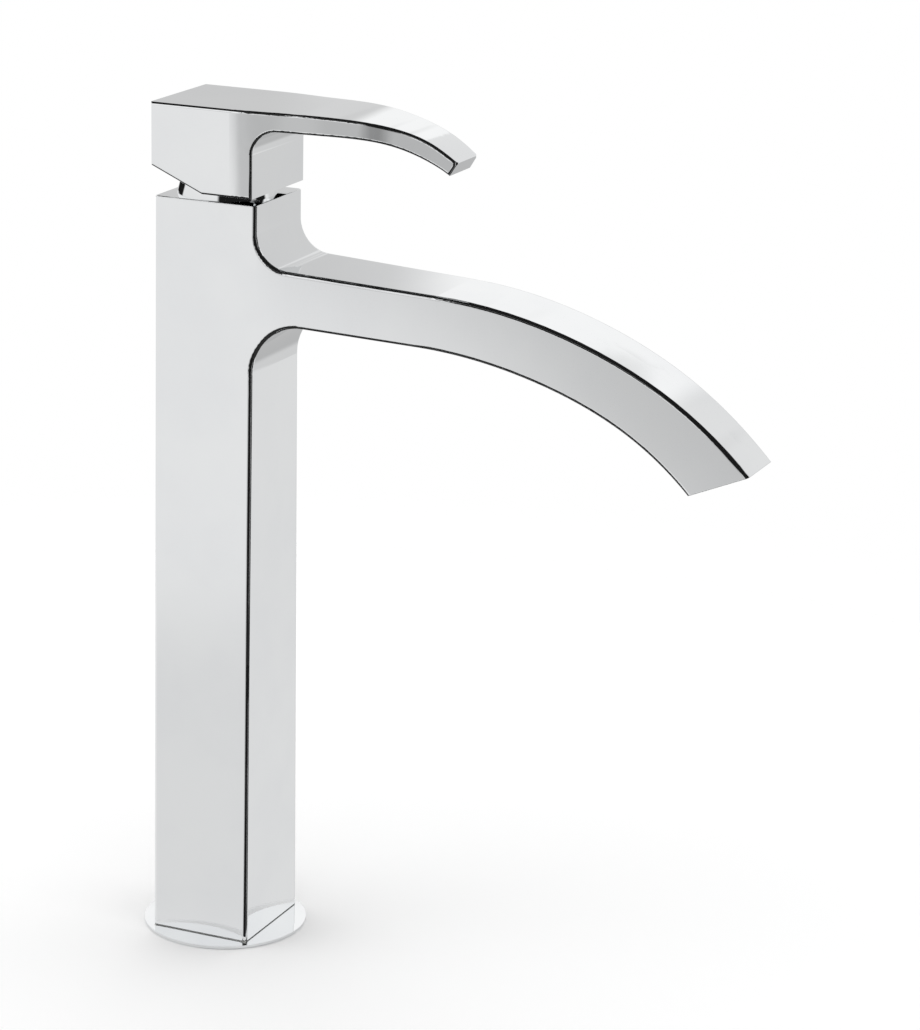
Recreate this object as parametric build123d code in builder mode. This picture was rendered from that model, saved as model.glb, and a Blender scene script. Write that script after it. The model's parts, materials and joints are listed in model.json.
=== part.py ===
from build123d import *
from math import asin, atan2, cos, degrees, hypot, radians, sin, sqrt, tan
import os

os.makedirs("parts", exist_ok=True)

# Kitchen mixer tap. Millimetres, +Z up, +X along the spout.
# The origin is on the column's axis, on the deck surface.

# Fits and gaps
thread_gap = 0.05
running_gap = 0.05
pin_gap = 0.04
free_gap = 0.3
overshoot = 1.0

# Bores round the cartridge, which set the column's width
housing_radius = 12.5
seat_bore_margin = 3.0
seat_bore_radius = housing_radius + seat_bore_margin
seat_step = 1.5
column_bore_radius = seat_bore_radius + seat_step
column_bore_wall = 2.0

# Column: straight front and back, sides that lean in towards the top
column_top = 287.6
column_side = 40.0
column_half = column_side / 2
column_top_half = column_bore_radius + column_bore_wall
column_lean = 2.8
column_foot_half = column_top_half + column_lean
column_front_step = 1.3
column_front_top = column_half + column_front_step
column_edge_radius = 1.5
column_lip_radius = 0.4

# Base flange on the deck
base_margin = 1.7
base_radius = hypot(column_half, column_foot_half) + base_margin
base_rim_height = 1.4
base_rim_width = 2.7
base_crown_height = 1.8
base_underside_edge = 0.4
gasket_width = 7.5
gasket_margin = 3.8
gasket_outer_radius = base_radius - gasket_margin
gasket_inner_radius = gasket_outer_radius - gasket_width
gasket_height = 0.8

# Swivel journal of the base, with its slide rings and the lug for the fixing stud
slide_ring_wall = 2.4
slide_ring_flange = 1.8
slide_ring_recess = 1.0
slide_ring_top = 12.0
upper_ring_bottom = 27.0
upper_ring_height = 5.0
journal_wall = 2.6
journal_ring_depth = 1.0
journal_end = 2.0
journal_radius = column_bore_radius - slide_ring_wall
journal_bore_radius = journal_radius - journal_wall
swivel_range = 55.0
stud_lug_width = 7.8
stud_lug_top = 24.5
stud_minor_radius = 3.4

# Dog-point screw that holds the column on the journal and stops its swing
dog_screw_height = 20.8
dog_screw_radius = 2.1
dog_screw_recess = 0.8
dog_tip_radius = 1.5
dog_groove_depth = 2.0
dog_floor_gap = 0.4
dog_side_play = 0.15
dog_shoulder_gap = 0.5
hex_key_radius = 1.25
hex_key_depth = 2.2

# Spout, seen from the side: knots of its curves as x, depth below the column's top, and slope there
spout_top_knots = ((92.0, 25.6, 2.6), (135.7, 33.0, 16.5), (172.0, 48.0, 28.5), (210.4, 77.8, 46.0))
spout_under_knots = ((84.0, 45.2, 2.1), (125.0, 51.5, 15.5), (160.0, 65.3, 28.0), (188.1, 87.2, 46.5))
root_top_radius = 12.5
root_under_radius = 19.0

# Spout, seen from above at the level of the column's top: knots as x and half width
taper_start = 6.0
spout_half_knots = ((42.0, 18.25), (110.0, 16.15), (160.0, 14.2), (216.0, 11.4))
spout_end_taper = 0.05

# Waterway
casting_wall = 3.0
waterway_start = 4.0
waterway_corner_radius = 3.0

# Cartridge seat inside the column
nut_bore_step = 0.5
nut_bore_radius = seat_bore_radius + nut_bore_step
ledge_width = 2.5
ledge_bore_radius = seat_bore_radius - ledge_width
ledge_height = 8.0
hose_cone_height = 5.0
seat_flange_height = 6.5
seat_height = 17.0
seat_clearance = 0.1
seat_ring_height = 3.4
seat_ring_section = 0.9
inlet_x = 3.2
inlet_y = 5.4
inlet_minor_radius = 4.5
inlet_thread_depth = 11.0
locating_pin_radius = 1.5
locating_pin_x = -7.4
locating_pin_y = 6.0
locating_pin_length = 2.4

# Cartridge
housing_wall = 1.3
housing_bore_radius = housing_radius - housing_wall
housing_sink = 2.7
housing_roof = 2.0
housing_neck_step = 3.5
housing_neck_radius = housing_radius - housing_neck_step
pivot_cover = 4.9
port_y = 4.6
port_radius = 1.7
port_seat_radius = 1.9
port_seal_radius = 2.9
port_seal_height = 1.2
mixed_port_radius = 2.4
window_width = 4.0
window_height = 2.0
window_floor = 1.4
window_directions = (110, 180, 250)
base_plate_height = 4.0
spigot_height = 2.0
shoulder_height = 3.0
shoulder_drop = 1.7
disc_margin = 0.5
disc_seal_height = 1.2
fixed_disc_height = 3.2
fixed_disc_radius = housing_bore_radius - disc_margin
moving_disc_step = 1.4
moving_disc_radius = fixed_disc_radius - moving_disc_step
moving_disc_height = 3.0
moving_disc_offset = -1.5
mixing_recess_radius = 3.7
mixing_recess_depth = 1.4
slider_height = 5.2
slider_inset = 0.3
slider_radius = moving_disc_radius - slider_inset
slider_half_width = 6.5
slider_play = 0.1
slider_pocket_floor = 0.4
rotor_neck_height = 4.2
stem_side = 6.0
stem_play = 0.15
stem_length = 32.5
stem_chamfer = 0.8
stem_block_drop = 2.6
stem_neck_radius = 1.6
stem_ball_radius = 2.2
stem_arm = 6.2
pivot_pin_radius = 1.2
pivot_pin_inset = 0.35
lift_range = 25.0

# Nut and trim collar on top of the column
nut_thread_runout = 0.6
nut_thread_sink = 0.2
nut_rise = 1.6
nut_hole_gap = 1.0
nut_hole_radius = housing_neck_radius + nut_hole_gap
nut_clearance = 0.2
nut_neck_step = 1.6
nut_neck_radius = nut_bore_radius - nut_neck_step
nut_slot_width = 3.0
nut_slot_depth = 1.6
collar_nut_gap = 0.7
collar_wall = 1.7
collar_foot_width = 1.6
collar_inner_radius = nut_neck_radius + collar_nut_gap
collar_wall_radius = collar_inner_radius + collar_wall
collar_foot_radius = collar_wall_radius + collar_foot_width
collar_foot_height = 0.4
collar_flare_height = 3.6
collar_height = 5.8
collar_opening_radius = 12.4
collar_roof = 1.0
collar_land_height = 1.4
collar_edge_radius = 1.0

# Handle, seen from the side: lever points as x and depth below the handle's top
handle_gap = 2.8
handle_height = 32.1
handle_front_overhang = 0.7
handle_rear = -column_half
handle_front = column_half + handle_front_overhang
handle_rear_rise = 8.8
handle_slope_end = 0.7
handle_slope_radius = 12.0
handle_corner_radius = 1.2
lever_root_depth = 7.1
cove_radius = 9.0
lever_top_start = 38.0
lever_top_points = ((71.4, 2.6), (85.9, 7.3), (95.9, 13.6))
lever_under_start = 40.0
lever_under_points = ((71.5, 9.3), (86.0, 14.5), (92.9, 18.4))
lever_end_slope = 35.0

# Handle, seen from above: lever points as x and distance in from the block's side
handle_overhang = 3.0
handle_half = column_top_half + handle_overhang
shoulder_start = 12.0
lever_side_points = ((30.0, 1.9), (48.0, 3.5), (60.0, 5.7), (70.0, 8.4), (80.0, 10.6))
lever_tip_inset = 12.4
lever_tip_bulge = 1.2
lever_tip_taper = 0.12
tip_direction = (0.7, -0.7)
handle_edge_radius = 1.1

# Handle, inside
cavity_front_wall = 1.5
cavity_rear_wall = 2.6
cavity_side_wall = 2.8
cavity_roof_wall = 4.0
cavity_corner_radius = 3.0
cavity_front = handle_front - cavity_front_wall
cavity_rear = handle_rear + cavity_rear_wall
cavity_half = handle_half - cavity_side_wall
boss_half = 6.5
boss_height = 16.1
socket_gap = 0.05
boss_rib_height = 9.5
boss_rib_width = 2.4
bridge_half_width = 4.2
bridge_height = 15.5
grub_radius = 2.1
grub_length = 8.0
plug_head_radius = 4.5
plug_head_height = 1.2
plug_shank_radius = 1.9
plug_shank_length = 4.5
plug_chamfer = 0.5

# Aerator in the mouth
aerator_bore_radius = 8.25
aerator_bore_depth = 9.0
aerator_shift = 1.5
aerator_recess = 0.4
aerator_ring_wall = 1.25
aerator_insert_recess = 0.6
aerator_washer_height = 1.2
aerator_washer_width = 3.05
aerator_jet_radius = 0.55
aerator_jet_pitch = 1.9
aerator_jet_count = 9
aerator_jet_depth = 3.2
aerator_key_width = 1.8
aerator_key_depth = 1.2

# Levels of the cartridge, from the column's top downwards
column_foot = base_crown_height + free_gap
housing_top = column_top - housing_sink
housing_ceiling = housing_top - housing_roof
shoulder_top = housing_top - shoulder_drop
shoulder_bottom = shoulder_top - shoulder_height
pivot_height = housing_top - pivot_cover
ball_height = pivot_height - stem_arm
slider_bottom = ball_height - stem_ball_radius - free_gap - slider_pocket_floor
slider_top = slider_bottom + slider_height
moving_disc_bottom = slider_bottom - moving_disc_height
fixed_disc_bottom = moving_disc_bottom - fixed_disc_height
spigot_top = fixed_disc_bottom - disc_seal_height
base_plate_top = spigot_top - spigot_height
seat_top = base_plate_top - base_plate_height
seat_bottom = seat_top - seat_height
ledge_bottom = seat_bottom - ledge_height
column_ring_section = (seat_bore_radius - housing_radius) / 2

# Levels above the column's top
nut_top = column_top + nut_rise
nut_thread_top = column_top - nut_thread_sink
collar_top = column_top + collar_height
collar_flare_top = column_top + collar_flare_height
handle_bottom = column_top + handle_gap
handle_top = handle_bottom + handle_height
handle_rear_low = handle_bottom + handle_rear_rise
lever_root_under = handle_top - lever_root_depth
cavity_roof = handle_top - cavity_roof_wall
boss_bottom = cavity_roof - boss_height
boss_rib_bottom = cavity_roof - boss_rib_height
bridge_bottom = cavity_roof - bridge_height
grub_height = bridge_bottom + bridge_half_width
stem_top = pivot_height + stem_length

# Mouth of the spout
mouth_front = spout_top_knots[-1]
mouth_rear = spout_under_knots[-1]
mouth_angle = degrees(atan2(mouth_rear[1] - mouth_front[1], mouth_front[0] - mouth_rear[0]))
mouth_middle_x = (mouth_front[0] + mouth_rear[0]) / 2 - aerator_shift * cos(radians(mouth_angle))
mouth_middle_depth = (mouth_front[1] + mouth_rear[1]) / 2 + aerator_shift * sin(radians(mouth_angle))
mouth_plane = Plane(
    origin=(mouth_middle_x, 0, column_top - mouth_middle_depth),
    x_dir=(cos(radians(mouth_angle)), 0, sin(radians(mouth_angle))),
    z_dir=(-sin(radians(mouth_angle)), 0, cos(radians(mouth_angle))),
)
aerator_ring_inner = aerator_bore_radius - aerator_ring_wall
aerator_washer_inner = aerator_bore_radius - aerator_washer_width
aerator_floor = aerator_bore_depth - aerator_washer_height


def downhill(angle):
    """Direction of a curve that falls by this angle on the way to the spout's end."""
    return (cos(radians(angle)), -sin(radians(angle)))


def ring(outer, inner, bottom, top):
    """A plain ring about Z."""
    with BuildPart() as body:
        with BuildSketch(Plane.XY.offset(bottom)):
            Circle(outer)
            Circle(inner, mode=Mode.SUBTRACT)
        extrude(amount=top - bottom)
    return body


def save(builder, label):
    """Name the finished piece and write its file."""
    builder.part.label = label
    export_step(builder.part, f"parts/{label}.step")


# Base flange: the disc on the deck, with the journal that the column swings on
slide_ring_floor = base_crown_height - slide_ring_recess
slide_ring_flange_radius = column_bore_radius + slide_ring_flange
journal_top = upper_ring_bottom + upper_ring_height + journal_end
dog_groove_floor = journal_radius - dog_groove_depth
dog_tip_reach = dog_groove_floor + dog_floor_gap
journal_outline = [
    (journal_bore_radius, 0),
    (base_radius - base_underside_edge, 0),
    (base_radius, base_underside_edge),
    (base_radius, base_rim_height),
    (base_radius - base_rim_width, base_crown_height),
    (slide_ring_flange_radius, base_crown_height),
    (slide_ring_flange_radius, slide_ring_floor),
    (journal_radius, slide_ring_floor),
    (journal_radius, upper_ring_bottom),
    (journal_radius - journal_ring_depth, upper_ring_bottom),
    (journal_radius - journal_ring_depth, upper_ring_bottom + upper_ring_height),
    (journal_radius, upper_ring_bottom + upper_ring_height),
    (journal_radius, journal_top),
    (journal_bore_radius, journal_top),
]
dog_groove_half_height = dog_tip_radius + free_gap
dog_tip_half_angle = degrees(asin((dog_tip_radius + dog_side_play) / dog_tip_reach))
dog_groove_half_angle = swivel_range + dog_tip_half_angle

with BuildPart() as dog_groove:
    with BuildSketch(Plane.XZ):
        with Locations(((dog_groove_floor + journal_radius + free_gap) / 2, dog_screw_height)):
            Rectangle(journal_radius + free_gap - dog_groove_floor, 2 * dog_groove_half_height)
    revolve(axis=Axis.Z, revolution_arc=2 * dog_groove_half_angle)

with BuildPart() as base_flange:
    with BuildSketch(Plane.XZ):
        with BuildLine():
            Polyline(*journal_outline, close=True)
        make_face()
    revolve(axis=Axis.Z)
    with BuildSketch(Plane.XY):
        Circle(journal_bore_radius)
        with Locations((stud_lug_width, 0)):
            Rectangle(2 * journal_bore_radius, 2 * journal_bore_radius, mode=Mode.SUBTRACT)
    extrude(amount=stud_lug_top)
    with BuildSketch(Plane.XY):
        with Locations((stud_lug_width / 2 - journal_bore_radius, 0)):
            Circle(stud_minor_radius)
    extrude(amount=stud_lug_top, mode=Mode.SUBTRACT)
    with BuildSketch(Plane.XY):
        Circle(gasket_outer_radius)
        Circle(gasket_inner_radius, mode=Mode.SUBTRACT)
    extrude(amount=gasket_height, mode=Mode.SUBTRACT)
    with Locations(Location((0, 0, 0), (0, 0, 180 - dog_groove_half_angle))):
        add(dog_groove.part, mode=Mode.SUBTRACT)
save(base_flange, "base_flange")

base_gasket = ring(gasket_outer_radius, gasket_inner_radius, 0, gasket_height)
save(base_gasket, "base_gasket")

# Slide rings between the journal and the column
with BuildPart() as lower_slide_ring:
    with BuildSketch(Plane.XY.offset(slide_ring_floor)):
        Circle(slide_ring_flange_radius)
        Circle(journal_radius, mode=Mode.SUBTRACT)
    extrude(amount=column_foot - slide_ring_floor)
    with BuildSketch(Plane.XY.offset(slide_ring_floor)):
        Circle(column_bore_radius - running_gap)
        Circle(journal_radius, mode=Mode.SUBTRACT)
    extrude(amount=slide_ring_top - slide_ring_floor)
save(lower_slide_ring, "lower_slide_ring")

upper_slide_ring = ring(
    column_bore_radius - running_gap,
    journal_radius - journal_ring_depth,
    upper_ring_bottom,
    upper_ring_bottom + upper_ring_height,
)
save(upper_slide_ring, "upper_slide_ring")

# Body casting: column and spout in one piece
def moved(knot, distance):
    """A knot moved square to its curve, upwards when the distance is positive."""
    x, depth, slope = knot
    return (x + distance * sin(radians(slope)), column_top - depth + distance * cos(radians(slope)))


def level_at(x, knot, distance):
    """Height at x of the straight stretch that ends at this knot, moved in the same way."""
    knot_x, knot_z = moved(knot, distance)
    return knot_z + (knot_x - x) * tan(radians(knot[2]))


def spout_curve(knots, distance):
    """One long curve of the spout's side."""
    Spline(
        *[moved(knot, distance) for knot in knots],
        tangents=(downhill(knots[0][2]), downhill(knots[-1][2])),
    )


def spout_side(top_x, under_x, wall):
    """Side outline of the spout, this far inside its surface and open at the root."""
    Line((top_x, level_at(top_x, spout_top_knots[0], -wall)), moved(spout_top_knots[0], -wall))
    spout_curve(spout_top_knots, -wall)
    Line(moved(spout_top_knots[-1], -wall), moved(spout_under_knots[-1], wall))
    spout_curve(spout_under_knots, wall)
    Line(moved(spout_under_knots[0], wall), (under_x, level_at(under_x, spout_under_knots[0], wall)))


def spout_plan(rear, wall, level):
    """Plan outline of the column and the tapering spout at this level, this far inside its surface."""
    lean = (column_foot_half - column_top_half) * (1 - level / column_top)
    side = column_top_half + lean - wall
    knots = [(x, half + lean - wall) for x, half in spout_half_knots]
    with BuildSketch(Plane.XY.offset(level)) as plan:
        with BuildLine():
            Line((rear, side), (taper_start, side))
            Spline((taper_start, side), *knots, tangents=((1, 0), (1, -spout_end_taper)))
            Line(knots[-1], (knots[-1][0], 0))
            mirror(about=Plane.XZ)
            Line((rear, -side), (rear, side))
        make_face()
    return plan.sketch


with BuildPart() as spout_waterway:
    with BuildSketch(Plane.XZ):
        with BuildLine():
            spout_side(waterway_start, waterway_start, casting_wall)
            Line(
                (waterway_start, level_at(waterway_start, spout_top_knots[0], -casting_wall)),
                (waterway_start, level_at(waterway_start, spout_under_knots[0], casting_wall)),
            )
        make_face()
    extrude(amount=column_foot_half, both=True)
    loft(
        (spout_plan(-overshoot, casting_wall, 0), spout_plan(-overshoot, casting_wall, column_top)),
        ruled=True,
        mode=Mode.INTERSECT,
    )
    split(bisect_by=mouth_plane.offset(aerator_bore_depth - aerator_washer_height / 2), keep=Keep.TOP)
    side_edges = spout_waterway.edges().filter_by(lambda e: abs(e.center().Y) > waterway_corner_radius)
    long_edges = [e for e in side_edges if e.length > column_side]
    fillet(long_edges, waterway_corner_radius)

spout_top_root = level_at(column_front_top, spout_top_knots[0], 0)
spout_under_root = level_at(column_half, spout_under_knots[0], 0)

with BuildPart() as body_casting:
    with BuildSketch(Plane.XZ) as side:
        with BuildLine():
            spout_side(column_front_top, column_half, 0)
            Polyline(
                (column_front_top, spout_top_root),
                (column_front_top, column_top),
                (-column_half, column_top),
                (-column_half, column_foot),
                (column_half, column_foot),
                (column_half, spout_under_root),
            )
        make_face()
        top_root = side.vertices().sort_by_distance((column_front_top, spout_top_root))[0]
        fillet(top_root, root_top_radius)
        under_root = side.vertices().sort_by_distance((column_half, spout_under_root))[0]
        fillet(under_root, root_under_radius)
    extrude(amount=column_foot_half + overshoot, both=True)
    loft(
        (spout_plan(-column_side, 0, 0), spout_plan(-column_side, 0, column_top + overshoot)),
        ruled=True,
        mode=Mode.INTERSECT,
    )
    sides = body_casting.edges().filter_by(lambda e: abs(e.center().Y) > aerator_bore_radius)
    rear_edges = [e for e in sides if e.center().X < overshoot - column_half and e.length > column_side]
    fillet(rear_edges, column_edge_radius)
    sides = body_casting.edges().filter_by(lambda e: abs(e.center().Y) > aerator_bore_radius)
    front_edges = [
        e
        for e in sides
        if e.center().X > column_half - overshoot
        and e.center().Z < column_top - overshoot
        and mouth_plane.to_local_coords(e.center()).Z > overshoot
    ]
    fillet(front_edges, column_edge_radius)
    top_edges = body_casting.faces().sort_by(Axis.Z)[-1].outer_wire().edges()
    fillet(top_edges, column_lip_radius)

    # Bores of the column, from the foot to the nut
    with BuildSketch(Plane.XZ):
        with BuildLine():
            Polyline(
                (0, column_foot),
                (column_bore_radius + free_gap, column_foot),
                (column_bore_radius, column_foot + free_gap),
                (column_bore_radius, ledge_bottom - hose_cone_height),
                (ledge_bore_radius, ledge_bottom),
                (ledge_bore_radius, seat_bottom),
                (seat_bore_radius, seat_bottom),
                (seat_bore_radius, shoulder_top - nut_thread_runout),
                (nut_bore_radius, shoulder_top - nut_thread_runout),
                (nut_bore_radius, column_top),
                (0, column_top),
                close=True,
            )
        make_face()
    revolve(axis=Axis.Z, mode=Mode.SUBTRACT)
    add(spout_waterway.part, mode=Mode.SUBTRACT)

    # Threaded pocket of the aerator
    with BuildSketch(mouth_plane):
        Circle(aerator_bore_radius)
    extrude(amount=aerator_bore_depth, mode=Mode.SUBTRACT)

    # Threaded hole of the dog-point screw, at the back of the column
    with BuildSketch(Plane.YZ.offset(-column_half)):
        with Locations((0, dog_screw_height)):
            Circle(dog_screw_radius)
    extrude(amount=column_half - journal_radius, mode=Mode.SUBTRACT)
save(body_casting, "body_casting")

# Dog-point screw
with BuildPart() as dog_point_screw:
    with BuildSketch(Plane.YZ.offset(-column_half + dog_screw_recess)):
        with Locations((0, dog_screw_height)):
            Circle(dog_screw_radius)
    extrude(amount=column_half - dog_screw_recess - journal_radius - dog_shoulder_gap)
    with BuildSketch(Plane.YZ.offset(-dog_tip_reach)):
        with Locations((0, dog_screw_height)):
            Circle(dog_tip_radius)
    extrude(amount=-(column_half - dog_screw_recess - dog_tip_reach))
    with BuildSketch(Plane.YZ.offset(-column_half + dog_screw_recess)):
        with Locations((0, dog_screw_height)):
            RegularPolygon(hex_key_radius, 6)
    extrude(amount=hex_key_depth, mode=Mode.SUBTRACT)
save(dog_point_screw, "dog_point_screw")

# Valve seat: the insert that takes both supply hoses and carries the cartridge
port_positions = ((inlet_x, port_y), (inlet_x, -port_y))
inlet_positions = ((inlet_x, inlet_y), (inlet_x, -inlet_y))
pin_positions = ((locating_pin_x, locating_pin_y), (locating_pin_x, -locating_pin_y))
seat_radius = seat_bore_radius - seat_clearance

with BuildPart() as valve_seat:
    with BuildSketch(Plane.XY.offset(seat_bottom)):
        Circle(seat_radius)
    extrude(amount=seat_flange_height)
    with BuildSketch(Plane.XY.offset(seat_bottom)):
        Circle(housing_radius)
    extrude(amount=seat_height)
    with BuildSketch(Plane.XZ):
        with Locations((seat_radius, seat_bottom + seat_ring_height)):
            Rectangle(2 * (2 * seat_ring_section - seat_clearance), 2 * seat_ring_section)
    revolve(axis=Axis.Z, mode=Mode.SUBTRACT)
    with BuildSketch(Plane.XY.offset(seat_bottom)):
        with Locations(*inlet_positions):
            Circle(inlet_minor_radius)
    extrude(amount=inlet_thread_depth, mode=Mode.SUBTRACT)
    with BuildSketch(Plane.XY.offset(seat_bottom)):
        with Locations(*port_positions):
            Circle(port_seat_radius)
    extrude(amount=seat_height, mode=Mode.SUBTRACT)
    with BuildSketch(Plane.XY.offset(seat_top)):
        with Locations(*pin_positions):
            Circle(locating_pin_radius)
    extrude(amount=-locating_pin_length - free_gap, mode=Mode.SUBTRACT)
save(valve_seat, "valve_seat")

with BuildPart() as seat_o_ring:
    with BuildSketch(Plane.XZ):
        with Locations((seat_bore_radius - seat_ring_section, seat_bottom + seat_ring_height)):
            Circle(seat_ring_section)
    revolve(axis=Axis.Z)
save(seat_o_ring, "seat_o_ring")

# Cartridge base: hot and cold go up through it, mixed water leaves by its side windows
with BuildPart() as cartridge_base:
    with BuildSketch(Plane.XY.offset(seat_top)):
        Circle(housing_radius)
    extrude(amount=base_plate_height)
    with BuildSketch(Plane.XY.offset(base_plate_top)):
        Circle(housing_bore_radius - running_gap)
    extrude(amount=spigot_height)
    with BuildSketch(Plane.XY.offset(seat_top)):
        with Locations(*pin_positions):
            Circle(locating_pin_radius)
    extrude(amount=-locating_pin_length)
    with BuildSketch(Plane.XY.offset(seat_top)):
        with Locations(*port_positions):
            Circle(port_seat_radius)
    extrude(amount=base_plate_height + spigot_height, mode=Mode.SUBTRACT)
    with BuildSketch(Plane.XY.offset(seat_top)):
        with Locations(*port_positions):
            Circle(port_seal_radius)
    extrude(amount=port_seal_height, mode=Mode.SUBTRACT)
    with BuildSketch(Plane.XY.offset(seat_top + window_floor)):
        Circle(mixed_port_radius)
    extrude(amount=base_plate_height + spigot_height - window_floor, mode=Mode.SUBTRACT)
    with BuildSketch(Plane.XY.offset(seat_top + window_floor)):
        for direction in window_directions:
            with Locations(Location((0, 0, 0), (0, 0, direction))):
                with Locations((housing_radius / 2, 0)):
                    Rectangle(housing_radius + overshoot, window_width)
    extrude(amount=window_height, mode=Mode.SUBTRACT)
save(cartridge_base, "cartridge_base")

with BuildPart() as port_seals:
    with BuildSketch(Plane.XY.offset(seat_top)):
        with Locations(*port_positions):
            Circle(port_seal_radius)
        with Locations(*port_positions):
            Circle(port_seat_radius, mode=Mode.SUBTRACT)
    extrude(amount=port_seal_height)
save(port_seals, "port_seals")


def ported_disc(radius, bottom, height):
    """A disc with the hot, cold and mixed ports."""
    with BuildPart() as disc:
        with BuildSketch(Plane.XY.offset(bottom)):
            Circle(radius)
            Circle(mixed_port_radius, mode=Mode.SUBTRACT)
            with Locations(*port_positions):
                Circle(port_radius, mode=Mode.SUBTRACT)
        extrude(amount=height)
    return disc


disc_seal = ported_disc(fixed_disc_radius, spigot_top, disc_seal_height)
save(disc_seal, "disc_seal")

fixed_ceramic_disc = ported_disc(fixed_disc_radius, fixed_disc_bottom, fixed_disc_height)
save(fixed_ceramic_disc, "fixed_ceramic_disc")

# Moving disc and its slider: they turn with the rotor and slide along X as the lever lifts
with BuildPart() as moving_ceramic_disc:
    with BuildSketch(Plane.XY.offset(moving_disc_bottom)):
        with Locations((moving_disc_offset, 0)):
            Circle(moving_disc_radius)
    extrude(amount=moving_disc_height)
    with BuildSketch(Plane.XY.offset(moving_disc_bottom)):
        Circle(mixing_recess_radius)
    extrude(amount=mixing_recess_depth, mode=Mode.SUBTRACT)
save(moving_ceramic_disc, "moving_ceramic_disc")

with BuildPart() as disc_slider:
    with BuildSketch(Plane.XY.offset(slider_bottom)):
        with Locations((moving_disc_offset, 0)):
            Circle(slider_radius)
            Rectangle(2 * slider_radius, 2 * slider_half_width, mode=Mode.INTERSECT)
    extrude(amount=slider_height)
    with BuildSketch(Plane.XY.offset(slider_top)):
        Rectangle(2 * (stem_ball_radius + free_gap), 2 * (stem_ball_radius + free_gap))
    extrude(amount=slider_pocket_floor - slider_height, mode=Mode.SUBTRACT)
save(disc_slider, "disc_slider")

# Rotor: turns in the housing and carries the stem's pivot pin
rotor_radius = housing_bore_radius - running_gap
rotor_channel_top = slider_top + free_gap
lean = radians(lift_range)
rotor_neck_top = housing_top + rotor_neck_height
slot_half = stem_side / 2 + stem_play


def leaned(across, along):
    """A point of the stem's outline in the XZ plane with the lever fully lifted."""
    return (across * cos(lean) - along * sin(lean), pivot_height + across * sin(lean) + along * cos(lean))


def leaned_at(across, height):
    """Where the stem's leaned face stands at this height."""
    along = (height - pivot_height - across * sin(lean)) / cos(lean)
    return leaned(across, along)


knee_along = (slot_half - slot_half * cos(lean)) / sin(lean)
upright_knee = leaned(slot_half, -knee_along)
lower_knee = leaned(-slot_half, knee_along)

with BuildPart() as cartridge_rotor:
    with BuildSketch(Plane.XY.offset(slider_bottom + free_gap)):
        Circle(rotor_radius)
    extrude(amount=housing_ceiling - slider_bottom - 2 * free_gap)
    with BuildSketch(Plane.XY.offset(slider_bottom + free_gap)):
        Circle(housing_neck_radius - running_gap)
    extrude(amount=rotor_neck_top - slider_bottom - free_gap)
    with BuildSketch(Plane.XY.offset(slider_bottom + free_gap)):
        Rectangle(2 * housing_radius, 2 * (slider_half_width + slider_play))
    extrude(amount=rotor_channel_top - slider_bottom - free_gap, mode=Mode.SUBTRACT)
    with BuildSketch(Plane.XZ):
        with BuildLine():
            Polyline(
                (slot_half, rotor_neck_top + overshoot),
                upright_knee,
                leaned_at(slot_half, rotor_channel_top - overshoot),
                (-slot_half, rotor_channel_top - overshoot),
                lower_knee,
                leaned_at(-slot_half, rotor_neck_top + overshoot),
                close=True,
            )
        make_face()
    extrude(amount=stem_side / 2 + slider_play, both=True, mode=Mode.SUBTRACT)
    with BuildSketch(Plane.XZ):
        with Locations((0, pivot_height)):
            Circle(pivot_pin_radius + pin_gap)
    extrude(amount=housing_radius, both=True, mode=Mode.SUBTRACT)
save(cartridge_rotor, "cartridge_rotor")

# Housing of the cartridge, with the shoulder that the nut presses on
with BuildPart() as cartridge_housing:
    with BuildSketch(Plane.XZ):
        with BuildLine():
            Polyline(
                (housing_bore_radius, base_plate_top),
                (housing_radius, base_plate_top),
                (housing_radius, shoulder_bottom),
                (seat_bore_radius - free_gap, shoulder_bottom),
                (seat_bore_radius - free_gap, shoulder_top),
                (housing_radius, shoulder_top),
                (housing_radius, housing_top),
                (housing_neck_radius, housing_top),
                (housing_neck_radius, housing_ceiling),
                (housing_bore_radius, housing_ceiling),
                close=True,
            )
        make_face()
    revolve(axis=Axis.Z)
save(cartridge_housing, "cartridge_housing")

with BuildPart() as cartridge_o_ring:
    with BuildSketch(Plane.XZ):
        with Locations((housing_radius + column_ring_section, shoulder_bottom - column_ring_section)):
            Circle(column_ring_section)
    revolve(axis=Axis.Z)
save(cartridge_o_ring, "cartridge_o_ring")

# Nut that clamps the cartridge
nut_bore = housing_radius + nut_clearance
with BuildPart() as retaining_nut:
    with BuildSketch(Plane.XZ):
        with BuildLine():
            Polyline(
                (nut_bore, shoulder_top),
                (nut_bore_radius - thread_gap, shoulder_top),
                (nut_bore_radius - thread_gap, nut_thread_top),
                (nut_neck_radius, nut_thread_top),
                (nut_neck_radius, nut_top),
                (nut_hole_radius, nut_top),
                (nut_hole_radius, housing_top),
                (nut_bore, housing_top),
                close=True,
            )
        make_face()
    revolve(axis=Axis.Z)
    with BuildSketch(Plane.XY.offset(nut_top)):
        Rectangle(nut_slot_width, 2 * nut_neck_radius)
        Rectangle(2 * nut_neck_radius, nut_slot_width)
    extrude(amount=-nut_slot_depth, mode=Mode.SUBTRACT)
save(retaining_nut, "retaining_nut")

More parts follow.
